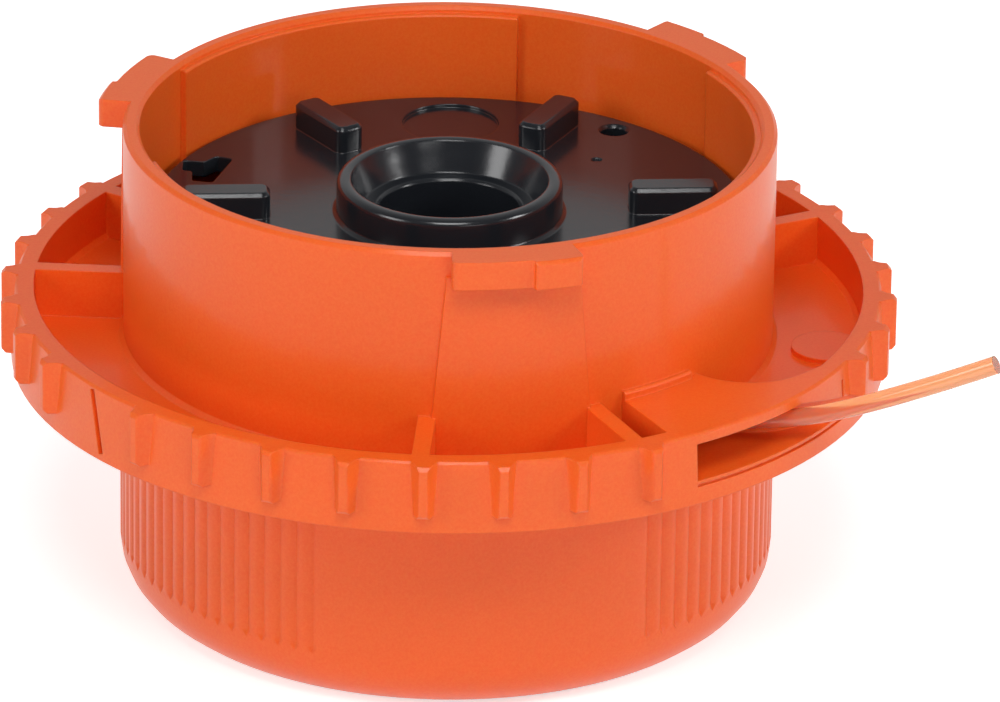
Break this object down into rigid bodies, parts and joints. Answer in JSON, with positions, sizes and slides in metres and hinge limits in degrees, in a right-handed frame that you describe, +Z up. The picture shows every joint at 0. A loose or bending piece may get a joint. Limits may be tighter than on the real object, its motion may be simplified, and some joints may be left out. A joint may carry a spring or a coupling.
{
  "type": "trimmer line spool",
  "caption": "Round orange plastic line cassette for a grass trimmer, with a knurled grip ring, a black spool inside and the end of its cutting line sticking out of one side.",
  "frame": {"origin": "centre of the cup's flat underside, on the spool's axis", "axes": "+Z up along the spool's axis, out of the open collar; -Y towards the front of the picture; +X towards the side where the line leaves"},
  "size_m": [0.1076, 0.0982, 0.0544],
  "materials": {
    "housing_plastic": "satin, slightly mottled",
    "spool_plastic": "semi-gloss",
    "line_nylon": "translucent"
  },
  "bodies": {
    "housing": {"housing": "housing_plastic", "line_tail": "line_nylon"},
    "spool": {"spool": "spool_plastic", "line_winding": "line_nylon"}
  },
  "joints": [
    {"name": "spool_spin", "type": "hinge", "parent": "housing", "child": "spool", "pos_m": [0, 0, 0], "axis": [0, 0, 1], "continuous": true}
  ]
}
